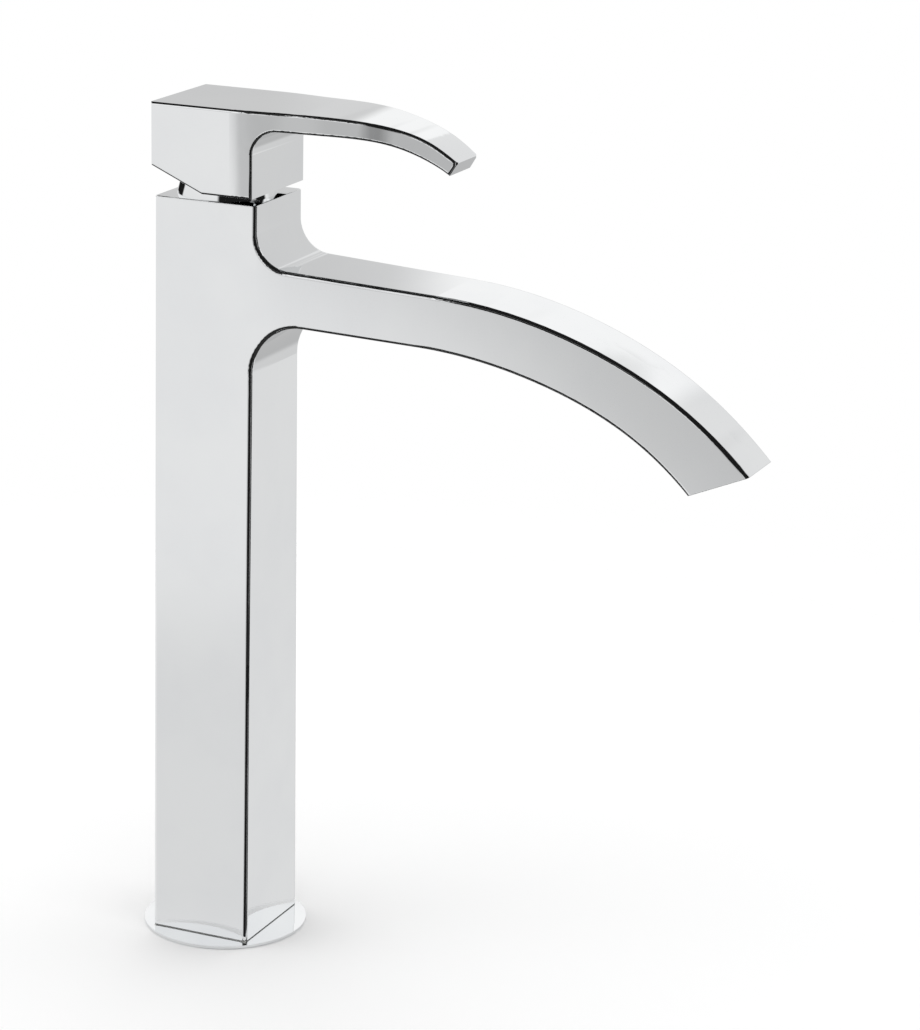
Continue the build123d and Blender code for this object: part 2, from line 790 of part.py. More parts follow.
# Trim collar: flared foot on the column, straight wall up into the handle
with BuildPart() as trim_collar:
    with BuildSketch(Plane.XZ) as collar_section:
        with BuildLine():
            Polyline(
                (collar_wall_radius, collar_flare_top),
                (collar_wall_radius, collar_top),
                (collar_opening_radius, collar_top),
                (collar_opening_radius, collar_top - collar_roof),
                (collar_inner_radius, collar_top - collar_roof),
                (collar_inner_radius, column_top + collar_land_height),
                (nut_neck_radius, column_top + collar_land_height),
                (nut_neck_radius, column_top),
                (collar_foot_radius, column_top),
                (collar_foot_radius, column_top + collar_foot_height),
            )
            Spline(
                (collar_foot_radius, column_top + collar_foot_height),
                (collar_wall_radius, collar_flare_top),
                tangents=((-0.7, 0.3), (0, 1)),
            )
        make_face()
        rim = collar_section.vertices().sort_by_distance((collar_wall_radius, collar_top))[0]
        fillet(rim, collar_edge_radius)
    revolve(axis=Axis.Z)
save(trim_collar, "trim_collar")

# Stem and its pivot pin
with BuildPart() as lever_stem:
    with BuildSketch(Plane.XY.offset(pivot_height - stem_block_drop)):
        Rectangle(stem_side, stem_side)
    extrude(amount=stem_top - pivot_height + stem_block_drop)
    chamfer(lever_stem.faces().sort_by(Axis.Z)[-1].edges(), stem_chamfer)
    with BuildSketch(Plane.XY.offset(ball_height)):
        Circle(stem_neck_radius)
    extrude(amount=stem_arm - stem_block_drop)
    with BuildSketch(Plane.XZ):
        with BuildLine():
            CenterArc((0, ball_height), stem_ball_radius, -90, 180)
            Line((0, ball_height + stem_ball_radius), (0, ball_height - stem_ball_radius))
        make_face()
    revolve(axis=Axis.Z)
    with BuildSketch(Plane.XZ):
        with Locations((0, pivot_height)):
            Circle(pivot_pin_radius)
    extrude(amount=stem_side, both=True, mode=Mode.SUBTRACT)
save(lever_stem, "lever_stem")

with BuildPart() as pivot_pin:
    with BuildSketch(Plane.XZ):
        with Locations((0, pivot_height)):
            Circle(pivot_pin_radius)
    extrude(amount=rotor_radius - pivot_pin_inset, both=True)
save(pivot_pin, "pivot_pin")

# Handle: block over the cartridge and lever in one piece
lever_top = [(x, handle_top - depth) for x, depth in lever_top_points]
lever_under = [(x, handle_top - depth) for x, depth in lever_under_points]
lever_side = [(x, handle_half - inset) for x, inset in lever_side_points]
lever_tip_half = handle_half - lever_tip_inset
lever_shoulder = (lever_top[-1][0] - lever_tip_bulge, lever_tip_half)

with BuildPart() as handle:
    with BuildSketch(Plane.XZ) as handle_side:
        with BuildLine():
            Line((handle_rear, handle_top), (lever_top_start, handle_top))
            Spline(
                (lever_top_start, handle_top),
                *lever_top,
                tangents=((1, 0), downhill(lever_end_slope)),
            )
            Line(lever_top[-1], lever_under[-1])
            Spline(
                (lever_under_start, lever_root_under),
                *lever_under,
                tangents=((1, 0), downhill(lever_end_slope)),
            )
            Polyline(
                (lever_under_start, lever_root_under),
                (handle_front, lever_root_under),
                (handle_front, handle_bottom),
                (handle_slope_end, handle_bottom),
                (handle_rear, handle_rear_low),
                (handle_rear, handle_top),
            )
        make_face()
        corners = handle_side.vertices()
        fillet(corners.sort_by_distance((handle_front, lever_root_under))[0], cove_radius)
        fillet(corners.sort_by_distance((handle_slope_end, handle_bottom))[0], handle_slope_radius)
        fillet(corners.sort_by_distance((handle_front, handle_bottom))[0], handle_corner_radius)
        fillet(corners.sort_by_distance((handle_rear, handle_rear_low))[0], handle_corner_radius)
        fillet(corners.sort_by_distance((handle_rear, handle_top))[0], handle_corner_radius)
    extrude(amount=handle_half + overshoot, both=True)
    with BuildSketch(Plane.XY.offset(handle_bottom - overshoot)):
        with BuildLine():
            Line((handle_rear, handle_half), (shoulder_start, handle_half))
            Spline(
                (shoulder_start, handle_half),
                *lever_side,
                lever_shoulder,
                tangents=((1, 0), (1, -lever_tip_taper)),
            )
            Spline(lever_shoulder, (lever_top[-1][0], 0), tangents=(tip_direction, (0, -1)))
            mirror(about=Plane.XZ)
            Line((handle_rear, -handle_half), (handle_rear, handle_half))
        make_face()
    extrude(amount=handle_height + 2 * overshoot, mode=Mode.INTERSECT)
    outline_edges = handle.edges().filter_by(lambda e: abs(e.center().Y) > lever_tip_half - overshoot)
    fillet(outline_edges, handle_edge_radius)

    # Hollow underside, with the stem's socket and the bridge for the grub screw
    with BuildSketch(Plane.XY.offset(handle_bottom - overshoot)):
        with Locations(((cavity_front + cavity_rear) / 2, 0)):
            RectangleRounded(cavity_front - cavity_rear, 2 * cavity_half, cavity_corner_radius)
    extrude(amount=cavity_roof - handle_bottom + overshoot, mode=Mode.SUBTRACT)
    with BuildSketch(Plane.XY.offset(boss_bottom)):
        Rectangle(2 * boss_half, 2 * boss_half)
    extrude(amount=boss_height)
    with BuildSketch(Plane.XY.offset(boss_rib_bottom)):
        Rectangle(boss_rib_width, 2 * cavity_half)
        with Locations((cavity_front / 2, 0)):
            Rectangle(cavity_front, boss_rib_width)
    extrude(amount=boss_rib_height)
    with BuildSketch(Plane.XY.offset(bridge_bottom)):
        with Locations((cavity_rear / 2, 0)):
            Rectangle(-cavity_rear, 2 * bridge_half_width)
    extrude(amount=bridge_height)
    with BuildSketch(Plane.XY.offset(boss_bottom)):
        Rectangle(stem_side + 2 * socket_gap, stem_side + 2 * socket_gap)
    extrude(amount=stem_top + free_gap - boss_bottom, mode=Mode.SUBTRACT)
    with BuildSketch(Plane.YZ.offset(handle_rear)):
        with Locations((0, grub_height)):
            Circle(grub_radius)
    extrude(amount=-handle_rear, mode=Mode.SUBTRACT)
    with BuildSketch(Plane.YZ.offset(handle_rear)):
        with Locations((0, grub_height)):
            Circle(plug_head_radius)
    extrude(amount=plug_head_height, mode=Mode.SUBTRACT)
save(handle, "handle")

with BuildPart() as handle_grub_screw:
    with BuildSketch(Plane.YZ.offset(-stem_side / 2)):
        with Locations((0, grub_height)):
            Circle(grub_radius)
    extrude(amount=-grub_length)
    with BuildSketch(Plane.YZ.offset(-stem_side / 2 - grub_length)):
        with Locations((0, grub_height)):
            RegularPolygon(hex_key_radius, 6)
    extrude(amount=hex_key_depth, mode=Mode.SUBTRACT)
save(handle_grub_screw, "handle_grub_screw")

# Plug over the grub screw: it marks hot and cold on the back of the handle
with BuildPart() as index_plug:
    with BuildSketch(Plane.YZ.offset(handle_rear)):
        with Locations((0, grub_height)):
            Circle(plug_head_radius)
    extrude(amount=plug_head_height)
    with BuildSketch(Plane.YZ.offset(handle_rear)):
        with Locations((0, grub_height)):
            Circle(plug_shank_radius)
    extrude(amount=plug_head_height + plug_shank_length)
    chamfer(index_plug.faces().sort_by(Axis.X)[-1].edges(), plug_chamfer)
save(index_plug, "index_plug")

# Aerator: threaded ring, jet insert and washer, built inwards from the mouth
with BuildPart() as aerator_ring:
    with BuildSketch(mouth_plane.offset(aerator_recess)):
        Circle(aerator_bore_radius)
        Circle(aerator_ring_inner, mode=Mode.SUBTRACT)
    extrude(amount=aerator_floor - aerator_recess)
    with BuildSketch(mouth_plane.offset(aerator_recess)):
        Rectangle(2 * aerator_bore_radius, aerator_key_width)
        Rectangle(aerator_key_width, 2 * aerator_bore_radius)
    extrude(amount=aerator_key_depth, mode=Mode.SUBTRACT)
save(aerator_ring, "aerator_ring")

with BuildPart() as aerator_insert:
    with BuildSketch(mouth_plane.offset(aerator_recess + aerator_insert_recess)):
        Circle(aerator_ring_inner)
    extrude(amount=aerator_floor - aerator_recess - aerator_insert_recess)
    with BuildSketch(mouth_plane.offset(aerator_recess + aerator_insert_recess)):
        with HexLocations(aerator_jet_pitch / sqrt(3), aerator_jet_count, aerator_jet_count):
            Circle(aerator_jet_radius)
        Circle(aerator_ring_inner - aerator_jet_pitch / 2, mode=Mode.INTERSECT)
    extrude(amount=aerator_jet_depth, mode=Mode.SUBTRACT)
    with BuildSketch(mouth_plane.offset(aerator_recess + aerator_insert_recess + aerator_jet_depth)):
        Circle(aerator_washer_inner)
    extrude(amount=aerator_floor, mode=Mode.SUBTRACT)
save(aerator_insert, "aerator_insert")

with BuildPart() as aerator_washer:
    with BuildSketch(mouth_plane.offset(aerator_floor)):
        Circle(aerator_bore_radius)
        Circle(aerator_washer_inner, mode=Mode.SUBTRACT)
    extrude(amount=aerator_washer_height)
save(aerator_washer, "aerator_washer")
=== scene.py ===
import json
import math

import bmesh
import bpy
from mathutils import Matrix, Vector


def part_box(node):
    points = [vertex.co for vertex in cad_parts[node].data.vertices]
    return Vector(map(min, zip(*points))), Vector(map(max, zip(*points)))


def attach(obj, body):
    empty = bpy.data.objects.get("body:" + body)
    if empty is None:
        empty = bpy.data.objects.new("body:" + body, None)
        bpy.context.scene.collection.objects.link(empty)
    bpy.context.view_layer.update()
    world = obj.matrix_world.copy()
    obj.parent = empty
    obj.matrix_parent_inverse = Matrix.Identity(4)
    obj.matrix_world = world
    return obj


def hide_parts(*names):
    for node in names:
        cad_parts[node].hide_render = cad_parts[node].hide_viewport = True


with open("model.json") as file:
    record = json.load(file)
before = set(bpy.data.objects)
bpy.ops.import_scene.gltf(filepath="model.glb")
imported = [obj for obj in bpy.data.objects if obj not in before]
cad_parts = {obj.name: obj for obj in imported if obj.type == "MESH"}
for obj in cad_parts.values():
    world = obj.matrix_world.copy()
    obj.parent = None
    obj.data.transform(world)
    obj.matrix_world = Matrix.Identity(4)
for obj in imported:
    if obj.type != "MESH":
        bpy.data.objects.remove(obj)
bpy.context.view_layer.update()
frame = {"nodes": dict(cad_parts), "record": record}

# Lengths are in metres, angles in degrees, and a brightness of 1 is white

# Camera: place, direction, and focal length in mm for a long side of 36 mm
camera_place = (0.59289, -1.14294, 0.54799)
camera_azimuth = 23.501
camera_elevation = 16.568
camera_roll = 1.271
camera_lens = 124.37
sensor_side = 36.0
clip_near = 0.05
clip_far = 20.0

# Floor, of which the metal mirrors only the middle
floor_radius = 0.9
floor_middle_radius = 0.0375
floor_fade_start = 0.24
floor_fade_end = 0.62
floor_tone = 0.98
floor_segments = 128

# Lamps
softbox_size = 1.5
softbox_place = (-0.55, 1.0, 1.55)
softbox_power = 2.5
fill_size = 1.2
fill_place = (-1.2, -0.9, 1.2)
fill_power = 1.5
lamp_target = (0.0, 0.0, 0.15)

# Studio that the metal mirrors: its brightness low down and overhead, and the heights of the change
studio_white = 0.95
overhead_white = 1.15
overhead_start = 4.0
overhead_end = 24.0

# Panels of the studio, later ones over earlier ones:
# compass range and edge, height range and edge, brightness
studio_panels = (
    # Low screen opposite the side
    ((-135.0, -100.0), 4.0, (-22.6, -17.2), 1.3, 0.84),
    # Grey wall opposite the front, with a lighter near end and a darker skirting
    ((46.0, 130.0), 8.0, (-70.0, 40.0), 1.2, 0.74),
    ((46.0, 64.7), 0.5, (-70.0, -12.7), 1.0, 0.86),
    ((70.0, 111.0), 3.0, (-36.0, -23.5), 3.0, 0.55),
    # Darker patches at the wall's far end
    ((116.2, 130.0), 0.7, (4.0, 15.0), 2.0, 0.66),
    ((113.8, 130.0), 1.0, (12.9, 17.0), 0.5, 0.68),
    # Pale screen before the wall, rising in three steps
    ((70.5, 104.5), 2.0, (12.0, 20.3), 1.0, 0.90),
    ((76.5, 104.5), 1.0, (19.5, 24.2), 0.6, 0.90),
    ((82.0, 104.5), 1.0, (23.3, 26.8), 0.5, 0.90),
    # White screen, rising in four steps
    ((106.5, 112.9), 0.8, (13.6, 17.4), 0.6, 1.05),
    ((102.0, 111.8), 1.0, (13.8, 19.2), 0.6, 1.06),
    ((96.0, 109.0), 1.0, (13.8, 22.0), 0.6, 1.08),
    ((84.0, 104.5), 2.0, (12.0, 24.75), 0.2, 1.10),
    # White cards on both sides of the screen
    ((111.5, 123.0), 1.0, (21.5, 27.0), 1.0, 1.10),
    ((46.0, 66.0), 1.0, (20.5, 27.0), 0.8, 1.20),
    # Black flag that draws the upright edges, with a grey window
    ((-84.0, 34.0), 4.0, (-100.0, 62.0), 0.5, 0.012),
    ((-6.0, 6.0), 2.0, (-34.0, 24.0), 4.0, 0.40),
    # Black ceiling that draws the upper edges
    ((-181.0, 181.0), 0.5, (36.0, 100.0), 3.0, 0.012),
    # Black cards, one low at the back and one high beside the camera
    ((124.0, 174.0), 3.0, (-8.5, 7.0), 1.2, 0.012),
    ((-110.0, -84.0), 2.0, (14.0, 36.0), 3.0, 0.012),
    # Dark ground that draws the lower edges
    ((-181.0, 181.0), 0.5, (-100.0, -36.0), 2.0, 0.03),
)

# Grey curtain at the side: its steps are compass ranges at curtain_level and lean with the height
curtain_lean = 1.65
curtain_level = -11.0
curtain_heights = (-22.6, 2.0)
curtain_height_edge = 0.5
curtain_compass = (-130.0, 0.0)
curtain_compass_edge = 8.0
curtain_steps = (((-116.5, -107.5), 0.63), ((-107.5, -99.0), 0.565))

# Chrome: two tones of the film on it, and the scales and depths of its texture
chrome_light = (0.80, 0.81, 0.815, 1.0)
chrome_deep = (0.775, 0.785, 0.795, 1.0)
film_scale = 22.0
wipe_scale = 160.0
wave_scale = 38.0
wave_depth = 0.00001
scuff_scale = 900.0
scuff_depth = 0.0000006

# Casting: rounding that polishing gives its edges, and the bare metal inside its bore
polished_edge = 0.00035
polish_samples = 6
bore_radius = 0.0172
plating_fade = 0.0003
cast_deep = (0.46, 0.34, 0.16, 1.0)
cast_light = (0.62, 0.48, 0.25, 1.0)
cast_roughness = 0.42
cast_grain_scale = 900.0

# Rolled rim of the flange: upward part of the normal over which it turns up, and how strongly
rim_lift_range = (0.03, 0.12)
rim_lift = 8.0

# Turned metals: two tones, roughness and step of the turning rings
turned_metals = (
    ("brass", (0.70, 0.54, 0.27, 1.0), (0.58, 0.42, 0.20, 1.0), 0.26, 0.00025),
    ("steel", (0.60, 0.60, 0.61, 1.0), (0.48, 0.48, 0.50, 1.0), 0.28, 0.0002),
)
tarnish_scale = 120.0
turning_depth = 0.00001

# Plastics, rubber and ceramic: two tones, roughness, scale and depth of the grain
moulded_materials = (
    ("grey_plastic", (0.36, 0.37, 0.39, 1.0), (0.30, 0.31, 0.33, 1.0), 0.5, 1400.0, 0.00001),
    ("white_plastic", (0.84, 0.84, 0.81, 1.0), (0.77, 0.77, 0.74, 1.0), 0.45, 1200.0, 0.00001),
    ("jet_plastic", (0.74, 0.76, 0.78, 1.0), (0.66, 0.68, 0.70, 1.0), 0.4, 1600.0, 0.000008),
    ("black_rubber", (0.022, 0.022, 0.023, 1.0), (0.04, 0.04, 0.042, 1.0), 0.62, 1100.0, 0.00002),
    ("white_ceramic", (0.90, 0.90, 0.87, 1.0), (0.84, 0.84, 0.80, 1.0), 0.22, 2500.0, 0.000003),
)
mottle_scale = 60.0

# Index plug: two tones of each half, the soft seam between them, and the grain
index_reds = ((0.52, 0.015, 0.012, 1.0), (0.64, 0.03, 0.02, 1.0))
index_blues = ((0.012, 0.06, 0.40, 1.0), (0.02, 0.09, 0.52, 1.0))
index_seam = 0.00012
index_grain_scale = 700.0
index_grain_depth = 0.000004

# Trim collar
collar_foot_height = 0.0002
collar_wall_height = 0.0036
collar_taper = 0.0010
collar_shoulder = 0.0009
collar_roof = 0.001
collar_opening_radius = 0.0124
collar_inner_radius = 0.0151
collar_segments = 144
collar_sharp_angle = 35.0

# Slide frame that closes the gap under the column
slide_frame_gap = 0.0003
slide_frame_clearance = 0.00004
slide_frame_inset = 0.0004
slide_frame_width = 0.0018


# Node helpers
def new_material(name):
    material = bpy.data.materials.new(name)
    material.use_nodes = True
    tree = material.node_tree
    return material, tree, tree.nodes["Principled BSDF"]


def put(tree, kind, **values):
    """New node whose properties or sockets have the values."""
    node = tree.nodes.new(kind)
    for key, value in values.items():
        if hasattr(node, key):
            setattr(node, key, value)
        else:
            node.inputs[key.replace("_", " ")].default_value = value
    return node


def place_coordinates(tree, stretch=(1.0, 1.0, 1.0)):
    """Object coordinates, stretched along the axes."""
    coordinates = put(tree, "ShaderNodeTexCoord")
    mapping = put(tree, "ShaderNodeMapping")
    mapping.inputs["Scale"].default_value = stretch
    tree.links.new(coordinates.outputs["Object"], mapping.inputs["Vector"])
    return mapping.outputs["Vector"]


def noise(tree, vector, scale, detail, roughness):
    node = put(tree, "ShaderNodeTexNoise", Scale=scale, Detail=detail, Roughness=roughness)
    tree.links.new(vector, node.inputs["Vector"])
    return node.outputs["Fac"]


def spread(tree, value, low, high, to_low, to_high):
    """Maps a value from one range to another, with soft ends."""
    node = put(tree, "ShaderNodeMapRange", interpolation_type="SMOOTHSTEP")
    tree.links.new(value, node.inputs["Value"])
    node.inputs["From Min"].default_value = low
    node.inputs["From Max"].default_value = high
    node.inputs["To Min"].default_value = to_low
    node.inputs["To Max"].default_value = to_high
    return node.outputs["Result"]


def calculate(tree, operation, first, second=None, third=None):
    node = put(tree, "ShaderNodeMath", operation=operation)
    for socket, value in zip(node.inputs, (first, second, third)):
        if value is None:
            continue
        if isinstance(value, (int, float)):
            socket.default_value = value
        else:
            tree.links.new(value, socket)
    return node.outputs["Value"]


def blend_colors(tree, factor, first, second):
    node = put(tree, "ShaderNodeMix", data_type="RGBA")
    tree.links.new(factor, node.inputs["Factor"])
    for socket, value in ((node.inputs[6], first), (node.inputs[7], second)):
        if isinstance(value, tuple):
            socket.default_value = value
        else:
            tree.links.new(value, socket)
    return node.outputs[2]


def bump(tree, shader, height, distance, strength=1.0, normal=None):
    node = put(tree, "ShaderNodeBump", Distance=distance, Strength=strength)
    tree.links.new(height, node.inputs["Height"])
    if normal is not None:
        tree.links.new(normal, node.inputs["Normal"])
    tree.links.new(node.outputs["Normal"], shader.inputs["Normal"])
    return node.outputs["Normal"]


def split_vector(tree, vector):
    node = put(tree, "ShaderNodeSeparateXYZ")
    tree.links.new(vector, node.inputs["Vector"])
    return node.outputs["X"], node.outputs["Y"], node.outputs["Z"]


def column_radius(tree):
    """Distance from the column's axis."""
    coordinates = put(tree, "ShaderNodeTexCoord")
    x, y, _ = split_vector(tree, coordinates.outputs["Object"])
    x_square = calculate(tree, "MULTIPLY", x, x)
    y_square = calculate(tree, "MULTIPLY", y, y)
    return calculate(tree, "SQRT", calculate(tree, "ADD", x_square, y_square))


# Chrome plate: clean mirror with faint polishing waves, wiped film and hairline scuffs
def chrome_plate(name, surface_normal=None):
    material, tree, shader = new_material(name)
    shader.inputs["Metallic"].default_value = 1.0
    vector = place_coordinates(tree)
    film = noise(tree, vector, film_scale, 4.0, 0.55)
    wiped = noise(tree, place_coordinates(tree, (1.0, 1.0, 0.12)), wipe_scale, 5.0, 0.6)
    tone = blend_colors(tree, spread(tree, film, 0.35, 0.68, 0.0, 1.0), chrome_light, chrome_deep)
    tree.links.new(tone, shader.inputs["Base Color"])
    film_rough = spread(tree, film, 0.4, 0.75, 0.025, 0.05)
    wiped_rough = spread(tree, wiped, 0.5, 0.8, 0.0, 0.035)
    tree.links.new(calculate(tree, "ADD", film_rough, wiped_rough), shader.inputs["Roughness"])
    waves = noise(tree, vector, wave_scale, 1.0, 0.4)
    start = surface_normal(tree) if surface_normal else None
    waved = bump(tree, shader, waves, wave_depth, 1.0, start)
    scuffs = noise(tree, place_coordinates(tree, (1.0, 1.0, 0.05)), scuff_scale, 2.0, 0.5)
    bump(tree, shader, scuffs, scuff_depth, 1.0, waved)
    return material, tree, shader


# Flange: chrome whose rolled rim catches the light like its flat top
def rolled_rim_normal(tree):
    normal = put(tree, "ShaderNodeNewGeometry").outputs["Normal"]
    _, _, upright = split_vector(tree, normal)
    lift = put(tree, "ShaderNodeCombineXYZ")
    tree.links.new(spread(tree, upright, *rim_lift_range, 0.0, rim_lift), lift.inputs["Z"])
    lifted = put(tree, "ShaderNodeVectorMath", operation="ADD")
    tree.links.new(normal, lifted.inputs[0])
    tree.links.new(lift.outputs["Vector"], lifted.inputs[1])
    facing = put(tree, "ShaderNodeVectorMath", operation="NORMALIZE")
    tree.links.new(lifted.outputs["Vector"], facing.inputs[0])
    return facing.outputs["Vector"]


# Casting: chrome outside with polished edges, bare cast metal inside the bore and the waterway
def polished_edge_normal(tree):
    return put(tree, "ShaderNodeBevel", samples=polish_samples, Radius=polished_edge).outputs["Normal"]


def plated_casting(name):
    material, tree, shader = chrome_plate(name, polished_edge_normal)
    inside = spread(tree, column_radius(tree), bore_radius, bore_radius + plating_fade, 1.0, 0.0)
    grain = noise(tree, place_coordinates(tree), cast_grain_scale, 6.0, 0.65)
    cast_tone = blend_colors(tree, grain, cast_deep, cast_light)
    plate_tone = shader.inputs["Base Color"].links[0].from_socket
    tree.links.new(blend_colors(tree, inside, plate_tone, cast_tone), shader.inputs["Base Color"])
    plate_rough = shader.inputs["Roughness"].links[0].from_socket
    cast_rough = calculate(tree, "MULTIPLY", inside, cast_roughness)
    tree.links.new(calculate(tree, "ADD", plate_rough, cast_rough), shader.inputs["Roughness"])
    return material


# Turned metals: fine rings from the cutting tool and slight tarnish
def turned_metal(name, light, deep, roughness, ring_step):
    material, tree, shader = new_material(name)
    shader.inputs["Metallic"].default_value = 1.0
    vector = place_coordinates(tree)
    tarnish = noise(tree, vector, tarnish_scale, 5.0, 0.6)
    tone = blend_colors(tree, spread(tree, tarnish, 0.35, 0.7, 0.0, 1.0), light, deep)
    tree.links.new(tone, shader.inputs["Base Color"])
    rough = spread(tree, tarnish, 0.3, 0.75, roughness * 0.8, roughness * 1.35)
    tree.links.new(rough, shader.inputs["Roughness"])
    ring_scale = 1.0 / (ring_step * 2.0 * math.pi)
    rings = put(tree, "ShaderNodeTexWave", bands_direction="Z", Scale=ring_scale, Distortion=0.6)
    tree.links.new(vector, rings.inputs["Vector"])
    bump(tree, shader, rings.outputs["Fac"], turning_depth, 0.7)
    return material


# Plastics, rubber and ceramic: fine grain, mottled tone and a soft sheen
def moulded(name, light, deep, roughness, grain_scale, grain_depth):
    material, tree, shader = new_material(name)
    vector = place_coordinates(tree)
    mottle = noise(tree, vector, mottle_scale, 4.0, 0.5)
    tone = blend_colors(tree, spread(tree, mottle, 0.3, 0.7, 0.0, 1.0), light, deep)
    tree.links.new(tone, shader.inputs["Base Color"])
    rough = spread(tree, mottle, 0.3, 0.7, roughness * 0.85, roughness * 1.15)
    tree.links.new(rough, shader.inputs["Roughness"])
    grain = noise(tree, vector, grain_scale, 3.0, 0.6)
    bump(tree, shader, grain, grain_depth)
    return material


# Index plug: glossy, one half red and the other blue
def index_finish(name):
    material, tree, shader = new_material(name)
    coordinates = put(tree, "ShaderNodeTexCoord").outputs["Object"]
    _, across, _ = split_vector(tree, coordinates)
    side = spread(tree, across, -index_seam, index_seam, 0.0, 1.0)
    mottle = noise(tree, coordinates, index_grain_scale, 3.0, 0.5)
    red = blend_colors(tree, mottle, *index_reds)
    blue = blend_colors(tree, mottle, *index_blues)
    tree.links.new(blend_colors(tree, side, red, blue), shader.inputs["Base Color"])
    tree.links.new(spread(tree, mottle, 0.3, 0.7, 0.16, 0.26), shader.inputs["Roughness"])
    bump(tree, shader, mottle, index_grain_depth)
    return material


# Finishes by material slot; the casting and the flange have their own
def make_finishes():
    finishes = {
        "chrome_plate": chrome_plate("chrome_plate")[0],
        "index_plastic": index_finish("index_plastic"),
    }
    for values in turned_metals:
        finishes[values[0]] = turned_metal(*values)
    for values in moulded_materials:
        finishes[values[0]] = moulded(*values)
    return finishes


def dress(nodes, finishes):
    own_finishes = {
        "body_casting": plated_casting("chrome_plate_casting"),
        "base_flange": chrome_plate("chrome_plate_disc", rolled_rim_normal)[0],
    }
    for part in frame["record"]["subparts"]:
        piece = nodes[part["node"]]
        finish = own_finishes.get(part["node"], finishes[part["material_slot"]])
        piece.data.materials.clear()
        piece.data.materials.append(finish)


# Mesh helpers
def circle(radius, height, segments):
    """Points of a level circle round the column's axis."""
    turns = [2.0 * math.pi * step / segments for step in range(segments)]
    return [(radius * math.cos(turn), radius * math.sin(turn), height) for turn in turns]


def add_piece(name, shape):
    mesh = bpy.data.meshes.new(name)
    shape.to_mesh(mesh)
    shape.free()
    piece = bpy.data.objects.new(name, mesh)
    bpy.context.scene.collection.objects.link(piece)
    return piece


def closed_ring(name, sections):
    """Solid ring through its cross-sections, the last joined to the first."""
    shape = bmesh.new()
    columns = [[shape.verts.new(point) for point in section] for section in sections]
    for here, there in zip(columns, columns[1:] + columns[:1]):
        for first in range(len(here)):
            second = (first + 1) % len(here)
            shape.faces.new((here[first], there[first], there[second], here[second]))
    bmesh.ops.recalc_face_normals(shape, faces=shape.faces)
    return add_piece(name, shape)


# Trim collar with the slightly tapering wall that shows under the handle
def make_collar(finish):
    low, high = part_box("trim_collar")
    foot = low[2]
    top = high[2]
    foot_radius = high[0]
    wall_radius = foot_radius - collar_taper
    profile = (
        (foot_radius, foot),
        (foot_radius, foot + collar_foot_height),
        (wall_radius, foot + collar_wall_height),
        (wall_radius - 0.4 * collar_shoulder, top - 0.6 * collar_shoulder),
        (wall_radius - collar_shoulder, top),
        (collar_opening_radius, top),
        (collar_opening_radius, top - collar_roof),
        (collar_inner_radius, top - collar_roof),
        (collar_inner_radius, foot),
    )
    circles = [circle(radius, height, collar_segments) for radius, height in profile]
    collar = closed_ring("collar_shell", list(zip(*circles)))
    collar.data.shade_smooth()
    collar.data.set_sharp_from_angle(angle=math.radians(collar_sharp_angle))
    collar.data.materials.append(finish)
    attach(collar, "swivel_body")
    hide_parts("trim_collar")


# Slide frame of pale plastic that shows as a fine line between the column and the flange
def make_slide_frame(finish):
    low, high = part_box("body_casting")
    top = low[2]
    bottom = top - slide_frame_gap + slide_frame_clearance
    half_length = -low[0] - slide_frame_inset
    half_width = high[1] - slide_frame_inset
    corners = ((-1.0, -1.0), (1.0, -1.0), (1.0, 1.0), (-1.0, 1.0))
    profile = ((0.0, bottom), (0.0, top), (slide_frame_width, top), (slide_frame_width, bottom))
    sections = [
        [(x * (half_length - inset), y * (half_width - inset), height) for inset, height in profile]
        for x, y in corners
    ]
    slide_frame = closed_ring("slide_frame", sections)
    slide_frame.data.materials.append(finish)
    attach(slide_frame, "swivel_body")


# Floor: pale paper that fades into the white surround
def floor_paper():
    material = bpy.data.materials.new("floor_paper")
    material.use_nodes = True
    tree = material.node_tree
    tree.nodes.clear()
    paper = put(tree, "ShaderNodeBsdfDiffuse", Color=(floor_tone, floor_tone, floor_tone, 1.0))
    clear = put(tree, "ShaderNodeBsdfTransparent")
    mixed = put(tree, "ShaderNodeMixShader")
    output = put(tree, "ShaderNodeOutputMaterial")
    fade = spread(tree, column_radius(tree), floor_fade_start, floor_fade_end, 0.0, 1.0)
    tree.links.new(fade, mixed.inputs["Fac"])
    tree.links.new(paper.outputs["BSDF"], mixed.inputs[1])
    tree.links.new(clear.outputs["BSDF"], mixed.inputs[2])
    tree.links.new(mixed.outputs["Shader"], output.inputs["Surface"])
    return material


def lay_floor(name, shape, paper, mirrored):
    floor = add_piece(name, shape)
    floor.visible_glossy = mirrored
    floor.data.materials.append(paper)


def make_floor():
    paper = floor_paper()
    middle = bmesh.new()
    rim = [middle.verts.new(point) for point in circle(floor_middle_radius, 0.0, floor_segments)]
    middle.faces.new(rim)
    lay_floor("floor_middle", middle, paper, True)
    outside = bmesh.new()
    near = [outside.verts.new(point) for point in circle(floor_middle_radius, 0.0, floor_segments)]
    far = [outside.verts.new(point) for point in circle(floor_radius, 0.0, floor_segments)]
    for step in range(floor_segments):
        after = (step + 1) % floor_segments
        outside.faces.new((near[step], far[step], far[after], near[after]))
    lay_floor("floor", outside, paper, False)


# Surround: white for the eye and for matt surfaces, a studio with panels for mirrors
def directions(tree):
    """Compass angle and height above the horizon of a ray into the surround, in degrees."""
    coordinates = put(tree, "ShaderNodeTexCoord")
    x, y, z = split_vector(tree, coordinates.outputs["Generated"])
    to_degrees = math.degrees(1.0)
    compass = calculate(tree, "MULTIPLY", calculate(tree, "ARCTAN2", y, x), to_degrees)
    height = calculate(tree, "MULTIPLY", calculate(tree, "ARCSINE", z), to_degrees)
    return compass, height


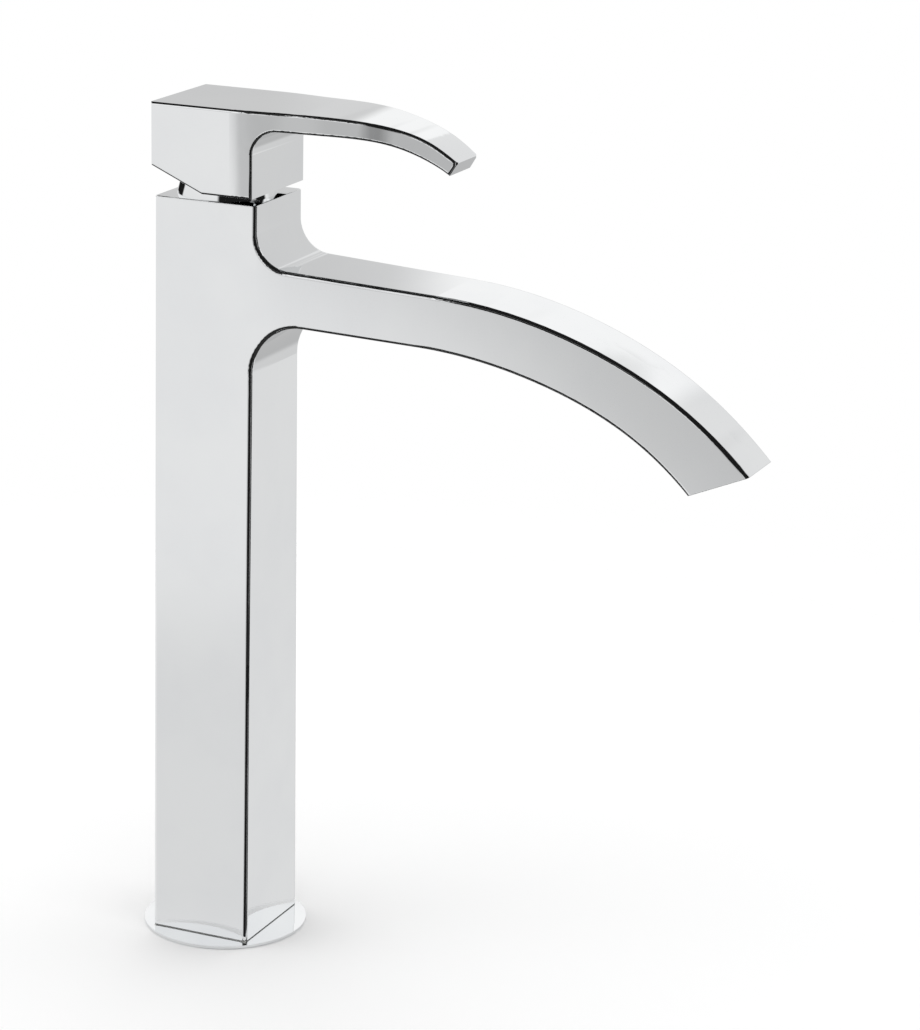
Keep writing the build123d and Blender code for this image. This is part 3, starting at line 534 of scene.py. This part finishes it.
def toward(tree, level, factor, target):
    """Level moved to the target by the factor."""
    gap = calculate(tree, "SUBTRACT", target, level)
    return calculate(tree, "MULTIPLY_ADD", gap, factor, level)


def band(tree, value, limits, edge):
    """1 between the limits and 0 outside, with soft edges centred on them."""
    low, high = limits
    rise = spread(tree, value, low - edge, low + edge, 0.0, 1.0)
    fall = spread(tree, value, high - edge, high + edge, 1.0, 0.0)
    return calculate(tree, "MULTIPLY", rise, fall)


def hang_curtain(tree, compass, height, level):
    above = calculate(tree, "SUBTRACT", height, curtain_level)
    leaning = calculate(tree, "ADD", compass, calculate(tree, "MULTIPLY", above, curtain_lean))
    upright = band(tree, height, curtain_heights, curtain_height_edge)
    across = band(tree, compass, curtain_compass, curtain_compass_edge)
    drawn = calculate(tree, "MULTIPLY", upright, across)
    for (start, end), brightness in curtain_steps:
        step = calculate(tree, "MULTIPLY", drawn, spread(tree, leaning, start, end, 0.0, 1.0))
        level = toward(tree, level, step, brightness)
    return level


def place_panels(tree, compass, height, level):
    for compass_range, compass_edge, height_range, height_edge, brightness in studio_panels:
        across = band(tree, compass, compass_range, compass_edge)
        upright = band(tree, height, height_range, height_edge)
        level = toward(tree, level, calculate(tree, "MULTIPLY", across, upright), brightness)
    return level


def make_world():
    world = bpy.data.worlds.new("studio")
    world.use_nodes = True
    bpy.context.scene.world = world
    tree = world.node_tree
    tree.nodes.clear()
    compass, height = directions(tree)
    level = spread(tree, height, overhead_start, overhead_end, studio_white, overhead_white)
    level = hang_curtain(tree, compass, height, level)
    level = place_panels(tree, compass, height, level)
    rays = put(tree, "ShaderNodeLightPath")
    level = toward(tree, 1.0, rays.outputs["Is Glossy Ray"], level)
    background = put(tree, "ShaderNodeBackground", Color=(1.0, 1.0, 1.0, 1.0))
    tree.links.new(level, background.inputs["Strength"])
    output = put(tree, "ShaderNodeOutputWorld")
    tree.links.new(background.outputs["Background"], output.inputs["Surface"])


def make_lamp(name, place, size, power):
    data = bpy.data.lights.new(name, "AREA")
    data.shape = "DISK"
    data.size = size
    data.energy = power
    lamp = bpy.data.objects.new(name, data)
    lamp.location = place
    lamp.rotation_mode = "QUATERNION"
    lamp.rotation_quaternion = (Vector(lamp_target) - Vector(place)).to_track_quat("-Z", "Y")
    lamp.visible_glossy = False
    bpy.context.scene.collection.objects.link(lamp)


def make_camera():
    around = math.radians(camera_azimuth)
    above = math.radians(camera_elevation)
    roll = math.radians(camera_roll)
    level_part = math.cos(above)
    back = Vector((math.sin(around) * level_part, -math.cos(around) * level_part, math.sin(above)))
    level_right = (-back).cross(Vector((0.0, 0.0, 1.0))).normalized()
    level_up = level_right.cross(-back)
    right = level_right * math.cos(roll) + level_up * math.sin(roll)
    up = level_up * math.cos(roll) - level_right * math.sin(roll)
    turn = Matrix((right, up, back)).transposed()
    data = bpy.data.cameras.new("camera")
    data.sensor_fit = "AUTO"
    data.sensor_width = sensor_side
    data.lens = camera_lens
    data.clip_start = clip_near
    data.clip_end = clip_far
    camera = bpy.data.objects.new("camera", data)
    camera.rotation_mode = "QUATERNION"
    camera.rotation_quaternion = turn.to_quaternion()
    camera.location = camera_place
    bpy.context.scene.collection.objects.link(camera)
    bpy.context.scene.camera = camera


make_camera()
make_world()
make_floor()
make_lamp("softbox", softbox_place, softbox_size, softbox_power)
make_lamp("fill", fill_place, fill_size, fill_power)
finishes = make_finishes()
dress(frame["nodes"], finishes)
make_collar(finishes["chrome_plate"])
make_slide_frame(finishes["white_plastic"])
bpy.context.scene.view_settings.view_transform = "Standard"
